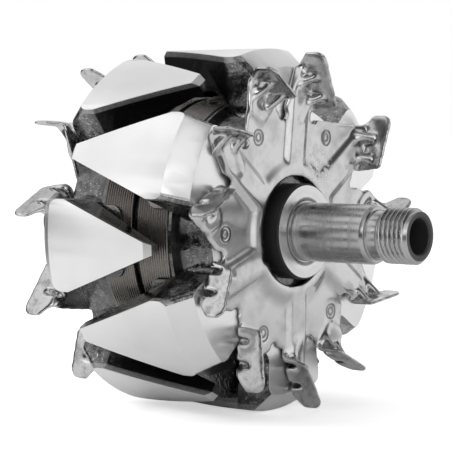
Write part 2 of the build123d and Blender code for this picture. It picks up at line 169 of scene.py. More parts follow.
class Graph:
    """Node graph of a finish or of the surroundings."""

    def __init__(self, owner: bpy.types.Material | bpy.types.World, shader: str, output: str) -> None:
        """Empties the owner's graph and gives it a shader and an output.

        Args:
            owner: The material or world.
            shader: Type of the shader node.
            output: Type of the output node.
        """
        owner.use_nodes = True
        self.tree = owner.node_tree
        self.tree.nodes.clear()
        self.shader = self.node(shader, {}, {})
        self.output = self.node(output, {}, {0: self.shader.outputs[0]})

    def node(self, kind: str, settings: dict[str, Any], values: dict[Any, Any]) -> bpy.types.Node:
        """Adds a node.

        Args:
            kind: The node's type.
            settings: Its properties, which are set first.
            values: Values or links of its sockets, by name or place.

        Returns:
            The node.
        """
        node = self.tree.nodes.new(kind)
        for name, value in settings.items():
            setattr(node, name, value)
        self.feed(node, values)
        return node

    def feed(self, node: bpy.types.Node, values: dict[Any, Any]) -> None:
        """Gives sockets their values or links.

        Args:
            node: The node.
            values: Values or links, by the socket's name or place.
        """
        for key, value in values.items():
            socket = node.inputs[key]
            if isinstance(value, Number):
                value = value.socket
            if isinstance(value, bpy.types.NodeSocket):
                self.tree.links.new(value, socket)
            else:
                socket.default_value = value

    def number(self, kind: str, settings: dict[str, Any], values: dict[Any, Any], result: Any = 0) -> Number:
        """Adds a node and wraps one of its results as a number."""
        return Number(self, self.node(kind, settings, values).outputs[result])

    def place(self) -> tuple[Number, Number, Number, bpy.types.NodeSocket]:
        """Place on the piece.

        Returns:
            X, Y and Z in millimetres, and the place as a vector in millimetres.
        """
        coordinates = self.node("ShaderNodeTexCoord", {}, {}).outputs["Object"]
        values = {0: coordinates, "Scale": 1.0 / MM}
        scaled = self.node("ShaderNodeVectorMath", {"operation": "SCALE"}, values)
        parts = self.node("ShaderNodeSeparateXYZ", {}, {0: scaled.outputs[0]}).outputs
        return Number(self, parts[0]), Number(self, parts[1]), Number(self, parts[2]), scaled.outputs[0]

    def vector(self, x: Any, y: Any, z: Any) -> bpy.types.NodeSocket:
        """Vector of three numbers."""
        return self.node("ShaderNodeCombineXYZ", {}, {0: x, 1: y, 2: z}).outputs[0]

    def noise(self, vector: bpy.types.NodeSocket, grain: Grain) -> Number:
        """Noise of a grain over a vector, from 0 to 1."""
        values = {"Vector": vector, "Scale": grain.waves, "Detail": grain.detail, "Roughness": grain.rough}
        return self.number("ShaderNodeTexNoise", {}, values, "Fac")

    def cover(self, vector: bpy.types.NodeSocket, grain: Grain, low: float = 0.0) -> Number:
        """Share that a grain covers, from a lowest share to 1."""
        return self.noise(vector, grain).ramp(*grain.covers, low)

    def mix(self, share: Number, first: Any, second: Any) -> bpy.types.NodeSocket:
        """Colour between two others, by the second one's share."""
        values = {0: share, 6: first, 7: second}
        return self.node("ShaderNodeMix", {"data_type": "RGBA"}, values).outputs[2]

    def bump(self, height: Number, strength: float, distance: float) -> bpy.types.NodeSocket:
        """Normal of a height from 0 to 1 that stands for a distance in millimetres."""
        values = {"Height": height, "Strength": strength, "Distance": distance * MM}
        return self.node("ShaderNodeBump", {}, values).outputs[0]


class Finish(Graph):
    """Graph of one material, with one Principled shader."""

    def __init__(self, name: str) -> None:
        """Makes an empty material with its shader and output."""
        self.material = bpy.data.materials.new(name)
        super().__init__(self.material, "ShaderNodeBsdfPrincipled", "ShaderNodeOutputMaterial")

    def shade(self, **values: Any) -> bpy.types.Material:
        """Feeds the shader and hands over the material; socket names have _ for a space."""
        self.feed(self.shader, {name.replace("_", " "): value for name, value in values.items()})
        return self.material


def grey(level: float, warm: float = 0.0) -> tuple[float, float, float, float]:
    """Neutral colour, a little warmer where asked."""
    return (level * (1.0 + warm), level, level * (1.0 - warm), 1.0)


@dataclass(frozen=True)
class MachinedSteel:
    """Turned or ground steel, its fine lines and scores running round the shaft.

    It is painted near black past dark_beyond and inside dark_within, as painted shade in the
    end socket and on the end face round it, and on a side outside dark_outside, as black
    varnish together with painted shade of the gap beside it. A face inside matte_within is matte.
    """

    name: str
    level: float = 0.54
    roughness: float = 0.19
    roughness_spread: Span = (0.8, 1.5)
    line_depth: float = 0.0016
    line_bump: float = 0.6
    lines_per_mm: float = 0.8
    lines: Grain = Grain(1.0, 6.0, 0.75, (0.5, 0.75))
    scores_per_mm: float = 2.4
    scores: Grain = Grain(1.0, 2.0, 0.6, (0.4, 0.65))
    stains: Grain = Grain(0.22, covers=(0.5, 0.75))
    round_waves: Span = (0.03, 0.06)
    stain: float = 0.55
    stain_parts: tuple[float, float, float] = (0.6, 0.3, 0.16)
    stained_level: float = 0.3
    dark_level: float = 0.02
    dark_beyond: float = 1000.0
    dark_within: float = 0.0
    dark_outside: float = 1000.0
    dark_edges: tuple[float, float, float] = (0.06, 0.3, 0.05)
    dark_metal_loss: float = 0.7
    dark_roughness: float = 0.15
    matte_within: float = 0.0
    matte_edge: float = 0.1
    matte_roughness: float = 0.45

    def build(self) -> bpy.types.Material:
        """Makes the material.

        Returns:
            The finished material.
        """
        graph = Finish(self.name)
        x, y, z, place = graph.place()
        radius = (y * y + z * z).root()
        around = graph.vector(x * self.lines_per_mm, radius * self.lines_per_mm, y * self.round_waves[0])
        lines = graph.noise(around, self.lines)
        across = graph.vector(x * self.scores_per_mm, radius, z * self.round_waves[1])
        scores = graph.cover(across, self.scores)
        by_lines, by_stains, by_scores = self.stain_parts
        worn = lines.ramp(*self.lines.covers) * by_lines + graph.cover(place, self.stains) * by_stains
        worn = worn * self.stain + scores * (self.stain * by_scores)
        # Painted shade: the end face and socket inside dark_within are painted near black, and a side
        # outside dark_outside is painted near black as black varnish together with painted shade.
        shade_and_black = self._shade_and_black(x, radius)
        matte = radius.ramp(self.matte_within, self.matte_within - self.matte_edge)
        smooth, rough = (self.roughness * spread for spread in self.roughness_spread)
        dull = shade_and_black * self.dark_roughness + matte * self.matte_roughness
        steel = graph.mix(worn, grey(self.level), grey(self.level * self.stained_level))
        return graph.shade(
            Base_Color=graph.mix(shade_and_black, steel, grey(self.dark_level)),
            Metallic=1.0 - shade_and_black * self.dark_metal_loss,
            Roughness=dull + lines.swing(smooth, rough),
            Normal=graph.bump(lines, self.line_bump, self.line_depth),
        )

    def _shade_and_black(self, x: Number, radius: Number) -> Number:
        """Share painted near black: on the end face as painted shade, and on a side as black varnish
        together with painted shade.

        Args:
            x: Place along the shaft.
            radius: Distance to the shaft's axis.

        Returns:
            The share, from 0 to 1.
        """
        beyond, within, outside = self.dark_edges
        end = x.ramp(self.dark_beyond - beyond, self.dark_beyond)
        end = end * radius.ramp(self.dark_within, self.dark_within - within)
        return end.most(radius.ramp(self.dark_outside - outside, self.dark_outside))


@dataclass(frozen=True)
class ClawForging:
    """Forged pole: turned outer faces and end face, varnish and scale elsewhere."""

    name: str
    side: Side
    face_radius: float = 53.1
    face_end: float = -14.9
    shoulder_start: float = 20.15
    shoulder_drop: float = 5.3
    half_length: float = 26.3
    tip_drop: float = 1.5
    tip_length: float = 1.7
    hub_radius: float = 17.0
    edge: float = 0.1
    face_depth: float = 0.16
    slope_depth: float = 0.2
    end_depth: float = 0.12
    steel_levels: Span = (0.84, 0.9)
    clouds: Grain = Grain(0.06, 2.0)
    lines_per_mm: float = 5.0
    round_waves: float = 0.03
    lines: Grain = Grain(1.0)
    line_roughness: float = 0.06
    line_height: float = 0.006
    steel_roughness: float = 0.28
    metal: float = 0.9
    raw_level: float = 0.045
    scale_level: float = 0.42
    glint_level: float = 0.95
    rim_depths: Span = (2.0, 1.4)
    rim_covers: Span = (0.3, 0.6)
    speckle: Grain = Grain(2.2, 4.0, 0.7, (0.3, 0.65))
    speckle_least: float = 0.4
    root_along: Span = (13.5, 19.0)
    root_radii: Span = (33.0, 41.0)
    root_least: float = 0.5
    patches: Grain = Grain(0.5, 5.0, 0.6, (0.35, 0.7))
    patches_least: float = 0.1
    scale_share: float = 0.75
    glints: Grain = Grain(1.4, 4.0, 0.75, (0.6, 0.66))
    glint_gloss: float = 0.9
    raw_roughness: float = 0.14
    scale_roughness: float = 0.4
    pits: Grain = Grain(0.7)
    pit_bump: float = 0.7
    pit_depth: float = 0.3
    varnish: float = 0.8
    varnish_roughness: float = 0.05

    def build(self) -> bpy.types.Material:
        """Makes the material.

        Returns:
            The finished material.
        """
        graph = Finish(self.name)
        x, y, z, place = graph.place()
        along = x * float(self.side.value)
        radius = (y * y + z * z).root()
        machined = self._machined(along, radius)
        root = along.ramp(*self.root_along) * radius.ramp(*self.root_radii, self.root_least)
        scaled = self._scale(graph, place, radius, root)
        glint = root * graph.cover(place, self.glints)
        raw = graph.mix(scaled, grey(self.raw_level), grey(self.scale_level))
        raw = graph.mix(glint, raw, grey(self.glint_level))
        dull, bright = (grey(level) for level in self.steel_levels)
        steel = graph.mix(graph.cover(place, self.clouds), dull, bright)
        around = graph.vector(x * self.lines_per_mm, radius * self.lines_per_mm, y * self.round_waves)
        lines = graph.noise(around, self.lines)
        raw_rough = (scaled * self.scale_roughness).least(1.0 - glint * self.glint_gloss)
        steel_rough = lines * self.line_roughness + self.steel_roughness
        unworked = 1.0 - machined
        height = machined * (lines * self.line_height) + unworked * graph.noise(place, self.pits)
        return graph.shade(
            Base_Color=graph.mix(machined, raw, steel),
            Metallic=self.metal,
            Coat_Weight=unworked * self.varnish,
            Coat_Roughness=self.varnish_roughness,
            Roughness=machined * steel_rough + unworked * (raw_rough + self.raw_roughness),
            Normal=graph.bump(height, self.pit_bump, self.pit_depth),
        )

    def _machined(self, along: Number, radius: Number) -> Number:
        """Share of the turned faces: outer faces, shoulders, tip bevels and end face.

        Args:
            along: Place along the shaft, towards the pole's own end.
            radius: Distance to the shaft's axis.

        Returns:
            The share, from 0 to 1.
        """
        face = self.face_radius - self.face_depth
        shoulder = self.shoulder_drop / (self.half_length - self.shoulder_start)
        cone = radius + (along - self.shoulder_start) * shoulder - self.face_radius
        tip = radius + (self.face_end - along) * (self.tip_drop / self.tip_length) - self.face_radius
        slope = (-self.slope_depth, self.edge - self.slope_depth)
        end_face = self.half_length - self.end_depth
        end = along.ramp(end_face, end_face + self.edge)
        end = end * radius.ramp(self.hub_radius, self.hub_radius + 2.0 * self.edge)
        return radius.ramp(face, face + self.edge).most(cone.ramp(*slope)).most(tip.ramp(*slope)).most(end)

    def _scale(self, graph: Finish, place: bpy.types.NodeSocket, radius: Number, root: Number) -> Number:
        """Share of speckled rims and of scale at the claws' roots.

        Args:
            graph: The material's graph.
            place: Place on the pole.
            radius: Distance to the shaft's axis.
            root: Share of the claws' roots.

        Returns:
            The share, from 0 to 1.
        """
        speckle = graph.noise(place, self.speckle)
        rim = radius.ramp(*(self.face_radius - depth for depth in self.rim_depths))
        rim = rim * speckle.ramp(*self.rim_covers, self.speckle_least)
        scale = root * graph.cover(place, self.patches, self.patches_least)
        scale = scale * speckle.ramp(*self.speckle.covers, self.speckle_least) * self.scale_share
        return rim.most(scale)


@dataclass(frozen=True)
class ZincSheet:
    """Pressed sheet under satin zinc, with specks and one etched patch, painted shade in rings round the
    welds, and painted shade with grime on the blades.
    """

    name: str
    turned: float = 0.0
    weld_angles: tuple[float, ...] = (3.0, 57.5, 121.0, 179.0, 244.0, 308.5)
    weld_circle: float = 32.0
    weld_rings: Span = (1.15, 2.2)
    weld_line: Span = (0.48, 0.15)
    weld_dark: float = 0.75
    weld_rim: float = 0.5
    button_flat: float = 0.4
    button_height: float = 0.8
    weld_depth: float = 0.35
    weld_bump: float = 0.6
    level: float = 0.62
    marks_and_shade_level: float = 0.2
    roughness: float = 0.18
    roughness_spread: float = 1.3
    clouds: Grain = Grain(0.12, 4.0, 0.6, (0.45, 0.75))
    cloud_dark: float = 0.28
    specks: Grain = Grain(1.3, 2.0, covers=(0.74, 0.8))
    speck_dark: float = 0.7
    blade_starts: Span = (29.0, 31.5)
    blotches: Grain = Grain(0.28, 5.0, 0.6, (0.42, 0.66))
    grime_and_shade: Grain = Grain(1.1, 4.0, 0.65, (0.45, 0.7))
    grime_and_shade_share: float = 0.6
    blade_dark: float = 0.55
    etched_centre: tuple[float, float, float] = (28.0, 12.5, 19.0)
    etched_radii: Span = (10.0, 6.5)
    etched_edge: Grain = Grain(0.5, 4.0)
    etched_ragged: float = 5.0
    etched_dark: float = 0.22
    flecks: Grain = Grain(0.4, 5.0, 0.7, (0.44, 0.52))
    fleck_level: float = 0.9
    fleck_metal_loss: float = 0.7
    fleck_roughness: float = 0.3
    fleck_height: float = 0.1

    def build(self) -> bpy.types.Material:
        """Makes the material.

        Returns:
            The finished material.
        """
        graph = Finish(self.name)
        x, y, z, place = graph.place()
        clouds = graph.noise(place, self.clouds)
        etched = self._etched(graph, (x, y, z), place)
        flecks = etched * graph.cover(place, self.flecks)
        away = self._from_weld(y, z)
        specks = graph.cover(place, self.specks) * self.speck_dark
        # Painted shade: the dark rings round each weld stand for the shade of the ring grooves that the
        # smoothing wore away; specks, clouds and the etched patch are the sheet's own marks.
        marks_and_shade = specks.most(self._weld_ring_shade(away) * self.weld_dark)
        marks_and_shade = marks_and_shade.most(clouds.ramp(*self.clouds.covers) * self.cloud_dark)
        # Painted shade with grime: the blades beyond the pads are darkened in blotches, as painted shade
        # together with grime.
        marks_and_shade = marks_and_shade.most(self._blade_shade_and_grime(graph, x, place) * self.blade_dark)
        marks_and_shade = marks_and_shade.most(etched * self.etched_dark)
        sheet = graph.mix(marks_and_shade, grey(self.level), grey(self.level * self.marks_and_shade_level))
        satin = clouds.swing(self.roughness, self.roughness * self.roughness_spread)
        height = flecks * self.fleck_height + self._weld_height(away)
        return graph.shade(
            Base_Color=graph.mix(flecks, sheet, grey(self.fleck_level)),
            Metallic=1.0 - flecks * self.fleck_metal_loss,
            Roughness=flecks * self.fleck_roughness + satin,
            Normal=graph.bump(height, self.weld_bump, self.weld_depth),
        )

    def _etched(
        self, graph: Finish, parts: tuple[Number, Number, Number], place: bpy.types.NodeSocket,
    ) -> Number:
        """Share of the etched patch.

        Args:
            graph: The material's graph.
            parts: X, Y and Z of the place.
            place: The same place as a vector.

        Returns:
            The share, from 0 to 1.
        """
        dx, dy, dz = (part - centre for part, centre in zip(parts, self.etched_centre))
        ragged = graph.noise(place, self.etched_edge) * self.etched_ragged
        return ((dx * dx + dy * dy + dz * dz).root() + ragged).ramp(*self.etched_radii)

    def _from_weld(self, y: Number, z: Number) -> Number:
        """Distance to the middle of the nearest weld.

        Args:
            y: Y of the place.
            z: Z of the place.

        Returns:
            The distance.
        """
        nearest = None
        for angle in self.weld_angles:
            turn = math.radians(angle + self.turned)
            dy = y - self.weld_circle * math.cos(turn)
            dz = z - self.weld_circle * math.sin(turn)
            away = (dy * dy + dz * dz).root()
            nearest = away if nearest is None else nearest.least(away)
        return nearest

    def _weld_ring_shade(self, away: Number) -> Number:
        """Share of the dark rings round a weld, painted shade that stands for the rings' grooves."""
        inner, outer = (abs(away - ring) for ring in self.weld_rings)
        return inner.least(outer).ramp(*self.weld_line)

    def _weld_height(self, away: Number) -> Number:
        """Height of a weld's rim and button.

        Args:
            away: Distance to the weld's middle.

        Returns:
            The height, from 0 to 1.
        """
        inner, outer = self.weld_rings
        rim = away.ramp(outer + self.weld_rim, outer) * away.ramp(inner, outer)
        return rim.most(away.ramp(inner, inner * self.button_flat) * self.button_height)

    def _blade_shade_and_grime(self, graph: Finish, x: Number, place: bpy.types.NodeSocket) -> Number:
        """Share of the painted shade and grime on the blades, which stand beyond the pads.

        Args:
            graph: The material's graph.
            x: Place along the shaft.
            place: The place as a vector.

        Returns:
            The share, from 0 to 1.
        """
        grime_and_shade = graph.cover(place, self.grime_and_shade) * self.grime_and_shade_share
        return abs(x).ramp(*self.blade_starts) * graph.cover(place, self.blotches).most(grime_and_shade)


@dataclass(frozen=True)
class Varnish:
    """Dark resin varnish over wire, moulding or metal, glossy and a little uneven."""

    name: str
    level: float
    warm: float = 0.0
    roughness: float = 0.22
    roughness_spread: float = 1.8
    coat: float = 0.5
    coat_roughness: float = 0.05
    depth: float = 0.08
    bump: float = 0.5
    metal: float = 0.0
    pools: Grain = Grain(0.3, 4.0, 0.6, (0.35, 0.7))
    pool_level: float = 0.4
    ripples: Grain = Grain(1.1)

    def build(self) -> bpy.types.Material:
        """Makes the material.

        Returns:
            The finished material.
        """
        graph = Finish(self.name)
        place = graph.place()[3]
        pools = graph.noise(place, self.pools)
        thin, thick = grey(self.level, self.warm), grey(self.level * self.pool_level, self.warm)
        return graph.shade(
            Base_Color=graph.mix(pools.ramp(*self.pools.covers), thin, thick),
            Metallic=self.metal,
            Roughness=pools.swing(self.roughness, self.roughness * self.roughness_spread),
            Coat_Weight=self.coat,
            Coat_Roughness=self.coat_roughness,
            Normal=graph.bump(graph.noise(place, self.ripples), self.bump, self.depth),
        )


@dataclass(frozen=True)
class WoundWire:
    """Enamelled wire under thin varnish, with painted shade in the grooves between turns and in the gap
    between the bands.
    """

    name: str
    radius: float
    bulge: float
    crown: Span = (0.9, 0.25)
    level: float = 0.18
    warm: float = 0.1
    groove_shade_level: float = 0.05
    metal: float = 0.85
    haze: Grain = Grain(0.25)
    roughness: Span = (0.2, 0.34)
    coat: float = 0.5
    coat_roughness: float = 0.08

    def build(self) -> bpy.types.Material:
        """Makes the material.

        Returns:
            The finished material.
        """
        graph = Finish(self.name)
        _, y, z, place = graph.place()
        radius = (y * y + z * z).root()
        # Painted shade: below the wire crowns, in the grooves between turns and in the gap between the
        # bands, the wire is painted dark.
        crown = radius.ramp(*(self.radius - self.bulge * share for share in self.crown))
        return graph.shade(
            Base_Color=graph.mix(crown, grey(self.groove_shade_level), grey(self.level, self.warm)),
            Metallic=self.metal,
            Roughness=graph.noise(place, self.haze).swing(*self.roughness),
            Coat_Weight=self.coat,
            Coat_Roughness=self.coat_roughness,
        )


@dataclass(frozen=True)
class RingCopper:
    """Turned copper of the slip rings and their bars, hazed in patches."""

    name: str
    bright: tuple[float, float, float, float] = (0.72, 0.43, 0.27, 1.0)
    dull: tuple[float, float, float, float] = (0.42, 0.24, 0.16, 1.0)
    haze: Grain = Grain(0.4, 4.0)
    roughness: Span = (0.22, 0.36)
    line_waves: Span = (8.0, 4.0)
    lines: Grain = Grain(1.0)
    line_bump: float = 0.6
    line_depth: float = 0.006

    def build(self) -> bpy.types.Material:
        """Makes the material.

        Returns:
            The finished material.
        """
        graph = Finish(self.name)
        x, y, z, place = graph.place()
        radius = (y * y + z * z).root()
        along, outwards = self.line_waves
        lines = graph.noise(graph.vector(x * along, radius * outwards, 0.0), self.lines)
        haze = graph.noise(place, self.haze)
        return graph.shade(
            Base_Color=graph.mix(haze.swing(0.0, 1.0), self.bright, self.dull),
            Metallic=1.0,
            Roughness=haze.swing(*self.roughness),
            Normal=graph.bump(lines, self.line_bump, self.line_depth),
        )


@dataclass(frozen=True)
class Sleeving:
    """Woven sleeving on the leads, stiff with varnish."""

    name: str
    threads: float = 9.0
    low: tuple[float, float, float, float] = (0.16, 0.11, 0.07, 1.0)
    high: tuple[float, float, float, float] = (0.34, 0.26, 0.18, 1.0)
    roughness: float = 0.45
    bump: float = 0.6
    depth: float = 0.1

    def build(self) -> bpy.types.Material:
        """Makes the material.

        Returns:
            The finished material.
        """
        graph = Finish(self.name)
        x, y, z = graph.place()[:3]
        weave = ((x + y) * self.threads).wave() * ((z - x) * self.threads).wave() * 0.5 + 0.5
        return graph.shade(
            Base_Color=graph.mix(weave, self.low, self.high),
            Roughness=self.roughness,
            Normal=graph.bump(weave, self.bump, self.depth),
        )


@dataclass(frozen=True)
class Backdrop:
    """Plain pale floor, lifted to white where it is seen directly and near in what the metal mirrors."""

    name: str
    level: float = 0.9
    roughness: float = 0.9
    lift: float = 0.55
    mirrored: Span = (250.0, 420.0)

    def build(self) -> bpy.types.Material:
        """Makes the material.

        Returns:
            The finished material.
        """
        graph = Finish(self.name)
        x, y = graph.place()[:2]
        mirrored = 1.0 - graph.number("ShaderNodeLightPath", {}, {}, "Is Camera Ray")
        material = graph.shade(
            Base_Color=grey(self.level),
            Roughness=self.roughness,
            Emission_Color=graph.mix(mirrored, grey(1.0), grey(0.0)),
            Emission_Strength=self.lift,
        )
        far = (x * x + y * y).root().ramp(*self.mirrored)
        clear = graph.node("ShaderNodeBsdfTransparent", {}, {}).outputs[0]
        values = {0: mirrored * far, 1: graph.shader.outputs[0], 2: clear}
        graph.feed(graph.output, {0: graph.node("ShaderNodeMixShader", {}, values).outputs[0]})
        return material


def finish_mesh(
    piece: bpy.types.Object, material: bpy.types.Material, sharp: float = 32.0,
) -> None:
    """Shades a piece, dresses it and lets it ride on the rotor.

    Args:
        piece: The piece, its place in its mesh.
        material: Its finish.
        sharp: Angle in degrees from which an edge stays sharp.
    """
    mesh = piece.data
    mesh.shade_smooth()
    mesh.set_sharp_from_angle(angle=math.radians(sharp))
    mesh.materials.clear()
    mesh.materials.append(material)
    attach(piece, BODY)
    LOG.info("%s: %d faces", piece.name, len(mesh.polygons))


def new_piece(name: str, bm: bmesh.types.BMesh) -> bpy.types.Object:
    """Object of a finished bmesh, which is freed.

    Args:
        name: The piece's name.
        bm: Its mesh.

    Returns:
        The object, linked to the scene.
    """
    mesh = bpy.data.meshes.new(name)
    bm.to_mesh(mesh)
    bm.free()
    piece = bpy.data.objects.new(name, mesh)
    bpy.context.scene.collection.objects.link(piece)
    return piece


def lathe(profile: Profile, steps: int, closed: bool = False) -> bmesh.types.BMesh:
    """Turns a profile about the shaft axis.

    Args:
        profile: X and radius of each point, in millimetres.
        steps: Steps in the full turn.
        closed: Whether the last point joins the first.

    Returns:
        The closed mesh, its faces outwards.
    """
    bm = bmesh.new()
    points = [bm.verts.new((x * MM, radius * MM, 0.0)) for x, radius in profile]
    pairs = list(zip(points, points[1:]))
    if closed:
        pairs.append((points[-1], points[0]))
    for first, second in pairs:
        bm.edges.new((first, second))
    bmesh.ops.spin(
        bm, geom=bm.verts[:] + bm.edges[:], cent=(0, 0, 0), axis=(1, 0, 0), dvec=(0, 0, 0),
        angle=math.tau, steps=steps, use_merge=True, use_duplicate=False,
    )
    bmesh.ops.remove_doubles(bm, verts=bm.verts[:], dist=LATHE_MERGE)
    bmesh.ops.recalc_face_normals(bm, faces=bm.faces[:])
    return bm


def rounded(corners: Corners, steps: int = 4) -> Profile:
    """Rounds the corners of a profile.

    Args:
        corners: X, radius and rounding of each corner; a rounding of 0 leaves it sharp.
        steps: Steps in each arc.

    Returns:
        The profile's points.
    """
    points: Profile = []
    for index, (x, radius, size) in enumerate(corners):
        if size <= 0.0 or index in (0, len(corners) - 1):
            points.append((x, radius))
            continue
        here = Vector((x, radius))
        back = (Vector(corners[index - 1][:2]) - here).normalized()
        ahead = (Vector(corners[index + 1][:2]) - here).normalized()
        for step in range(steps + 1):
            share = step / steps
            first = here + back * size * (1.0 - share)
            second = here + ahead * size * share
            points.append(tuple(first.lerp(second, share)))
    return points


def merged_copy(nodes: Nodes, node: str, name: str) -> bpy.types.Object:
    """Copy of a CAD node with its doubles merged and its flat faces joined.

    Args:
        nodes: The CAD nodes.
        node: The one to copy, which the copy replaces.
        name: The new piece's name.

    Returns:
        The piece, still undressed.
    """
    bm = bmesh.new()
    bm.from_mesh(nodes[node].data)
    bmesh.ops.remove_doubles(bm, verts=bm.verts[:], dist=CAD_MERGE)
    bmesh.ops.dissolve_limit(
        bm, angle_limit=math.radians(FLAT_ANGLE), use_dissolve_boundaries=False,
        verts=bm.verts[:], edges=bm.edges[:],
    )
    piece = new_piece(name, bm)
    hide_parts(node)
    return piece


def soften(piece: bpy.types.Object, width: float, segments: int = 2, angle: float = 30.0) -> None:
    """Rounds a piece's sharp edges.

    Args:
        piece: The piece.
        width: Width of the rounding in millimetres.
        segments: Segments across it.
        angle: Angle in degrees from which an edge is rounded.
    """
    bevel = piece.modifiers.new("edges", "BEVEL")
    bevel.width = width * MM
    bevel.segments = segments
    bevel.limit_method = "ANGLE"
    bevel.angle_limit = math.radians(angle)
    bevel.harden_normals = True
    bevel.use_clamp_overlap = True


@dataclass
class Shaft:
    """Ground shaft with its relief, cut thread and end socket."""

    steel: bpy.types.Material
    start: float = 28.0
    overlap: float = 0.2
    seat_radius: float = 9.0
    collar_end: float = 32.5
    journal_radius: float = 8.5
    journal_to_end: float = 13.9
    journal_edge: float = 1.0
    undercut_radius: float = 7.1
    thread_length: float = 10.4
    thread_radius: float = 8.0
    thread_lead_in: float = 0.5
    thread_depth: float = 0.85
    thread_pitch: float = 1.5
    thread_fade: float = 1.2
    thread_run_out: float = 0.9
    thread_margin: float = 0.2
    groove_share: float = 0.86
    flank_share: float = 0.72
    end_chamfer: float = 1.0
    socket_radius: float = 5.1
    socket_chamfer: float = 0.5
    socket_depth: float = 16.0
    socket_cone: float = 2.4
    fine_edge: float = 0.1
    edge: float = 0.15
    socket_edge: float = 0.2
    fillet: float = 0.3
    steps: int = 144
    steps_per_pitch: int = 12
    sharp: float = 50.0

    def build(self, nodes: Nodes) -> None:
        """Builds both halves of the shaft in place of its CAD node.

        Args:
            nodes: The CAD nodes.
        """
        front = self._front_half()
        rear = self._rear_half(nodes)
        finish_mesh(front, self.steel, self.sharp)
        finish_mesh(rear, self.steel)
        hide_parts("shaft")

    def _front_half(self) -> bpy.types.Object:
        """Turns the front half, with its thread and socket.

        Returns:
            The piece, still undressed.
        """
        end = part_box("shaft")[1].x / MM
        journal_end = end - self.journal_to_end
        thread_start = end - self.thread_length
        full_start = thread_start + self.thread_lead_in
        full_end = end - self.end_chamfer
        profile = rounded([
            (self.start, 0.0, 0.0),
            (self.start, self.seat_radius, 0.0),
            (self.collar_end, self.seat_radius, self.fine_edge),
            (self.collar_end, self.journal_radius, 0.0),
            (journal_end - self.journal_edge, self.journal_radius, self.edge),
            (journal_end, self.journal_radius - self.journal_edge / 2, self.edge),
            (journal_end, self.undercut_radius, self.fillet),
            (thread_start, self.undercut_radius, self.fillet),
            (full_start, self.thread_radius, 0.0),
        ])
        count = round((full_end - full_start) / self.thread_pitch * self.steps_per_pitch)
        length = full_end - full_start
        profile += [(full_start + length * index / count, self.thread_radius) for index in range(1, count)]
        profile += rounded([
            (full_end, self.thread_radius, 0.0),
            (end, self.thread_radius - self.end_chamfer, self.edge),
            (end, self.socket_radius + self.socket_chamfer, self.socket_edge),
            (end - self.socket_chamfer, self.socket_radius, self.fine_edge),
            (end - self.socket_depth, self.socket_radius, self.fillet),
            (end - self.socket_depth - self.socket_cone, 0.0, 0.0),
        ])
        bm = lathe(profile, self.steps)
        self._cut_thread(bm, thread_start, end)
        return new_piece("shaft_front", bm)

    def _rear_half(self, nodes: Nodes) -> bpy.types.Object:
        """Cuts the rear half from a copy of the CAD node.

        Args:
            nodes: The CAD nodes.

        Returns:
            The piece, still undressed.
        """
        piece = merged_copy(nodes, "shaft", "shaft_rear")
        bm = bmesh.new()
        bm.from_mesh(piece.data)
        bmesh.ops.bisect_plane(
            bm, geom=bm.verts[:] + bm.edges[:] + bm.faces[:],
            plane_co=((self.start + self.overlap) * MM, 0, 0), plane_no=(1, 0, 0), clear_outer=True,
        )
        bmesh.ops.holes_fill(bm, edges=[edge for edge in bm.edges if edge.is_boundary], sides=0)
        bm.to_mesh(piece.data)
        bm.free()
        return piece

    def _cut_thread(self, bm: bmesh.types.BMesh, start: float, end: float) -> None:
        """Sinks the thread's groove into the turned nose.

        Args:
            bm: The shaft's mesh.
            start: X where the thread starts.
            end: X of the shaft's end.
        """
        first, last = start + self.thread_margin, end - self.thread_margin
        for vert in bm.verts:
            x = vert.co.x / MM
            radius = math.hypot(vert.co.y, vert.co.z) / MM
            if not (first < x < last and radius > self.undercut_radius - self.fine_edge):
                continue
            turn = math.atan2(vert.co.z, vert.co.y) / math.tau
            phase = (x / self.thread_pitch - turn) % 1.0
            flank = abs(phase - 0.5) * 2.0
            groove = min(max((self.groove_share - flank) / self.flank_share, 0.0), 1.0)
            fade = min((x - start) / self.thread_fade, (last - x) / self.thread_run_out, 1.0)
            wanted = self.thread_radius - self.thread_depth * groove * max(fade, 0.0)
            if wanted < radius:
                vert.co.y *= wanted / radius
                vert.co.z *= wanted / radius


@dataclass
class FieldWinding:
    """Wound coil: turns of round wire in two bands with a gap between."""

    radius: float = 39.0
    inner_radius: float = 26.2
    half_length: float = 12.0
    wire_pitch: float = 0.86
    wire_bulge: float = 0.42
    wire_steps: int = 6
    crown_clearance: float = 0.02
    split_half_width: float = 1.0
    split_depth: float = 1.4
    steps: int = 180
    sharp: float = 60.0

    def build(self) -> None:
        """Builds and dresses the coil in place of its CAD node."""
        band = self.half_length - self.split_half_width
        turns = round(band / self.wire_pitch)
        pitch = band / turns
        right: Profile = [(self.split_half_width, self.radius - self.split_depth)]
        for turn in range(turns):
            for step in range(self.wire_steps):
                share = (step + 0.5) / self.wire_steps
                bulge = math.sqrt(max(1.0 - (2.0 * share - 1.0) ** 2, 0.0))
                sunk = self.wire_bulge * (1.0 - bulge) + self.crown_clearance
                right.append((self.split_half_width + (turn + share) * pitch, self.radius - sunk))
        right.append((self.half_length, self.radius - self.wire_bulge))
        right.append((self.half_length, self.inner_radius))
        left = [(-x, radius) for x, radius in reversed(right)]
        piece = new_piece("winding_turns", lathe(left + right, self.steps, closed=True))
        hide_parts("field_winding")
        wire = WoundWire("wound_wire", self.radius, self.wire_bulge).build()
        finish_mesh(piece, wire, self.sharp)


@dataclass
class CopiedPiece:
    """CAD node whose own shape is shown, with its edges rounded."""

    node: str
    name: str
    slot: str
    material: bpy.types.Material
    edge: float = 0.1

    def build(self, nodes: Nodes) -> None:
        """Copies the node, dresses it and rounds its edges.

        Args:
            nodes: The CAD nodes.
        """
        piece = merged_copy(nodes, self.node, self.name)
        finish_mesh(piece, self.material)
        soften(piece, self.edge)


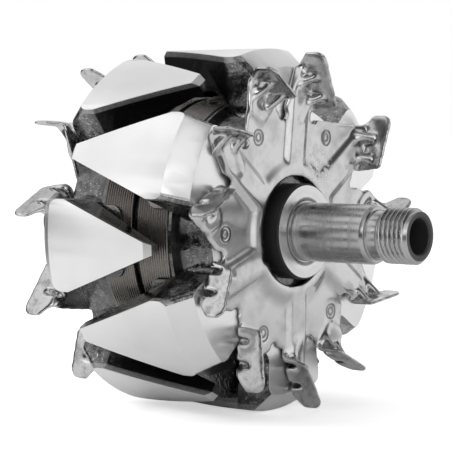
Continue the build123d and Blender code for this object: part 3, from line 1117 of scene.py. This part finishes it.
@dataclass
class PressedFan:
    """Pressed fan, remeshed so that its ribs, folds and edges are as soft as pressed sheet."""

    node: str
    name: str
    material: bpy.types.Material
    voxel: float = 0.42
    smoothing: int = 36
    smoothing_step: float = 0.5
    sharp: float = 60.0

    def build(self, nodes: Nodes) -> None:
        """Copies the node, remeshes and smooths it, and dresses it.

        Args:
            nodes: The CAD nodes.
        """
        piece = merged_copy(nodes, self.node, self.name)
        remesh = piece.modifiers.new("sheet", "REMESH")
        remesh.mode = "VOXEL"
        remesh.voxel_size = self.voxel * MM
        smooth = piece.modifiers.new("soft", "SMOOTH")
        smooth.factor = self.smoothing_step
        smooth.iterations = self.smoothing
        graph = bpy.context.evaluated_depsgraph_get()
        mesh = bpy.data.meshes.new_from_object(piece.evaluated_get(graph))
        piece.modifiers.clear()
        piece.data = mesh
        finish_mesh(piece, self.material, self.sharp)


@dataclass(frozen=True)
class Glow:
    """Soft bright patch of the surroundings round a direction, its sizes in degrees."""

    direction: tuple[float, float, float]
    full_within: float
    ends_at: float
    strength: float

    def level(self, graph: Graph, towards: bpy.types.NodeSocket) -> Number:
        """Brightness that it adds in a direction.

        Args:
            graph: Graph of the surroundings.
            towards: The direction.

        Returns:
            The brightness.
        """
        centre = Vector(self.direction).normalized()
        values = {0: towards, 1: centre}
        share = graph.number("ShaderNodeVectorMath", {"operation": "DOT_PRODUCT"}, values, "Value")
        full, edge = math.cos(math.radians(self.full_within)), math.cos(math.radians(self.ends_at))
        return share.ramp(edge, full) * self.strength


@dataclass(frozen=True)
class Lamp:
    """Round soft lamp that looks at the rotor and that the metal doesn't mirror."""

    name: str
    place: tuple[float, float, float]
    size: float
    power: float

    def hang(self) -> None:
        """Hangs the lamp in the scene."""
        data = bpy.data.lights.new(self.name, "AREA")
        data.shape = "DISK"
        data.size = self.size * MM
        data.energy = self.power
        lamp = bpy.data.objects.new(self.name, data)
        lamp.location = Vector(self.place) * MM
        lamp.rotation_euler = Vector(self.place).to_track_quat("Z", "Y").to_euler()
        lamp.visible_glossy = False
        bpy.context.scene.collection.objects.link(lamp)


@dataclass
class Studio:
    """Camera at the photograph's place, pale floor and soft lights."""

    azimuth: float = 37.40
    elevation: float = 3.265
    distance: float = 601.5
    focal_px: float = 2027.87
    image_px: float = 452.0
    target: tuple[float, float, float] = (9.75, 0.0, 0.0)
    target_px: Span = (243.62, 228.845)
    sensor: float = 36.0
    seen_from: float = 10.0
    seen_to: float = 50000.0
    floor_height: float = -53.3
    floor_half: float = 6000.0
    room: float = 0.05
    glows: tuple[Glow, ...] = (
        Glow((0.61, 0.79, 0.0), 22.0, 40.0, 0.95),
        Glow((-0.61, 0.76, 0.20), 12.0, 27.0, 0.65),
        Glow((-0.61, 0.30, 0.75), 14.0, 34.0, 0.7),
        Glow((-0.62, -0.50, 0.60), 18.0, 35.0, 0.98),
        Glow((-0.62, -0.78, 0.0), 12.0, 24.0, 0.82),
        Glow((-0.61, -0.75, 0.27), 3.0, 8.0, 0.6),
        Glow((1.0, -0.20, -0.05), 14.0, 28.0, 1.25),
        Glow((0.62, -0.50, 0.60), 13.0, 27.0, 1.05),
        Glow((0.49, -0.81, 0.31), 5.0, 14.0, 1.9),
        Glow((-0.1, 0.80, 0.58), 18.0, 32.0, 0.65),
        Glow((0.0, -0.1, 1.0), 16.0, 40.0, 0.4),
    )
    lamps: tuple[Lamp, ...] = (
        Lamp("key", (-420.0, -420.0, 420.0), 420.0, 1.8),
        Lamp("top", (-160.0, 160.0, 700.0), 600.0, 1.1),
    )

    def axes(self) -> tuple[Vector, Vector, Vector]:
        """Directions of the camera.

        Returns:
            Right, up and backward.
        """
        turn = math.radians(self.azimuth)
        tilt = math.radians(self.elevation)
        back = Vector((math.sin(turn) * math.cos(tilt), -math.cos(turn) * math.cos(tilt), math.sin(tilt)))
        right = Vector((math.cos(turn), math.sin(turn), 0.0))
        return right, back.cross(right), back

    def camera(self) -> None:
        """Places the camera so that the target lies on its pixel."""
        right, up, back = self.axes()
        half = self.image_px / 2
        scale = self.distance / self.focal_px
        aside = (self.target_px[0] - half) * scale
        above = (half - self.target_px[1]) * scale
        place = Vector(self.target) + back * self.distance - right * aside - up * above
        data = bpy.data.cameras.new("camera")
        data.sensor_width = self.sensor
        data.lens = self.sensor * self.focal_px / self.image_px
        data.clip_start = self.seen_from * MM
        data.clip_end = self.seen_to * MM
        camera = bpy.data.objects.new("camera", data)
        facing = Matrix((right, up, back)).transposed().to_4x4()
        camera.matrix_world = Matrix.Translation(place * MM) @ facing
        bpy.context.scene.collection.objects.link(camera)
        bpy.context.scene.camera = camera

    def floor(self) -> None:
        """Lays the floor under the rotor."""
        bm = bmesh.new()
        bmesh.ops.create_grid(bm, x_segments=1, y_segments=1, size=self.floor_half * MM)
        bmesh.ops.translate(bm, verts=bm.verts[:], vec=(0.0, 0.0, self.floor_height * MM))
        plane = new_piece("floor", bm)
        plane.data.materials.append(Backdrop("floor_paper").build())

    def surroundings(self) -> bpy.types.World:
        """Dim room with the bright patches that the metal mirrors, and white where it is seen directly.

        Returns:
            The world.
        """
        world = bpy.data.worlds.new("studio")
        graph = Graph(world, "ShaderNodeBackground", "ShaderNodeOutputWorld")
        towards = graph.node("ShaderNodeTexCoord", {}, {}).outputs["Generated"]
        level = sum((glow.level(graph, towards) for glow in self.glows), self.room)
        direct = graph.number("ShaderNodeLightPath", {}, {}, "Is Camera Ray")
        graph.feed(graph.shader, {"Color": grey(1.0), "Strength": direct.most((1.0 - direct) * level)})
        return world

    def build(self) -> None:
        """Sets up the camera, floor, lamps and surroundings."""
        self.camera()
        self.floor()
        for lamp in self.lamps:
            lamp.hang()
        bpy.context.scene.world = self.surroundings()
        bpy.context.scene.view_settings.view_transform = "Standard"


@dataclass
class PolePack:
    """Both claw poles, with the fans that are welded to them."""

    edge: float = 0.25
    rear_turn: float = -CLAW_PITCH / 2

    def build(self, nodes: Nodes) -> None:
        """Builds and dresses the poles, then the fans.

        Args:
            nodes: The CAD nodes.
        """
        for side in Side:
            end = side.name.lower()
            forging = ClawForging(f"claw_forging_{end}", side).build()
            CopiedPiece(f"{end}_claw_pole", f"{end}_claws", "claw_steel", forging, self.edge).build(nodes)
        for side in Side:
            end = side.name.lower()
            turned = self.rear_turn if side is Side.REAR else 0.0
            sheet = ZincSheet(f"bright_zinc_{end}", turned).build()
            PressedFan(f"{end}_fan", f"{end}_fan_sheet", sheet).build(nodes)


def dress_plain(nodes: Nodes, finishes: dict[str, bpy.types.Material]) -> None:
    """Gives CAD nodes that stay as they are their finish.

    Args:
        nodes: The CAD nodes.
        finishes: Finish of each, by its name.
    """
    for name, material in finishes.items():
        slots = nodes[name].data.materials
        slots.clear()
        slots.append(material)
        LOG.info("%s: CAD shape in %s", name, material.name)


def main(frame: dict[str, Any]) -> None:
    """Builds the rotor's looks, the studio and the camera.

    Args:
        frame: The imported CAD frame.
    """
    logging.basicConfig(level=logging.INFO, format="%(name)s: %(message)s")
    nodes = frame["nodes"]
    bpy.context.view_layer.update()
    Studio().build()

    # Painted shade: past x 56 and inside radius 7.1 the end socket and the end face round it are painted
    # near black.
    ground = MachinedSteel(
        "ground_steel", level=0.5, roughness=0.21, line_depth=0.0012,
        dark_level=0.045, dark_beyond=56.0, dark_within=7.1,
    ).build()
    # The collar's side outside radius 13.45 is painted near black: black varnish together with painted shade
    # of the gap beside it.
    collar = MachinedSteel(
        "turned_collar", level=0.72, roughness=0.3, stain=0.08, dark_outside=13.45, matte_within=9.95,
    ).build()
    core = MachinedSteel("turned_core", level=0.4).build()
    wire = Varnish("varnished_wire", level=0.34, warm=0.1, roughness=0.2, depth=0.04, metal=0.8).build()
    bobbin = Varnish("varnished_moulding", level=0.13, roughness=0.1, coat=1.0, depth=0.6, metal=0.8).build()
    carrier = Varnish("black_moulding", level=0.03, coat=0.2, roughness=0.4, depth=0.02).build()
    copper = RingCopper("ring_copper").build()
    sleeving = Sleeving("woven_sleeving").build()

    PolePack().build(nodes)
    Shaft(ground).build(nodes)
    FieldWinding().build()
    CopiedPiece("coil_bobbin", "bobbin_moulding", "bobbin_plastic", bobbin, edge=0.12).build(nodes)
    CopiedPiece("front_spacer", "front_collar", "spacer_steel", collar, edge=0.15).build(nodes)
    CopiedPiece("rear_spacer", "rear_collar", "spacer_steel", collar, edge=0.12).build(nodes)
    CopiedPiece("slip_ring_carrier", "ring_carrier", "carrier_plastic", carrier).build(nodes)
    CopiedPiece("inner_slip_ring", "inner_ring", "slip_ring_copper", copper).build(nodes)
    CopiedPiece("outer_slip_ring", "outer_ring", "slip_ring_copper", copper).build(nodes)
    dress_plain(nodes, {
        "pole_core": core,
        "inner_ring_bar": copper,
        "outer_ring_bar": copper,
        "lead_guide": carrier,
        "start_lead_wire": wire,
        "finish_lead_wire": wire,
        "start_lead_sleeve": sleeving,
        "finish_lead_sleeve": sleeving,
    })


if __name__ == "__main__":
    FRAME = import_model()
    main(FRAME)
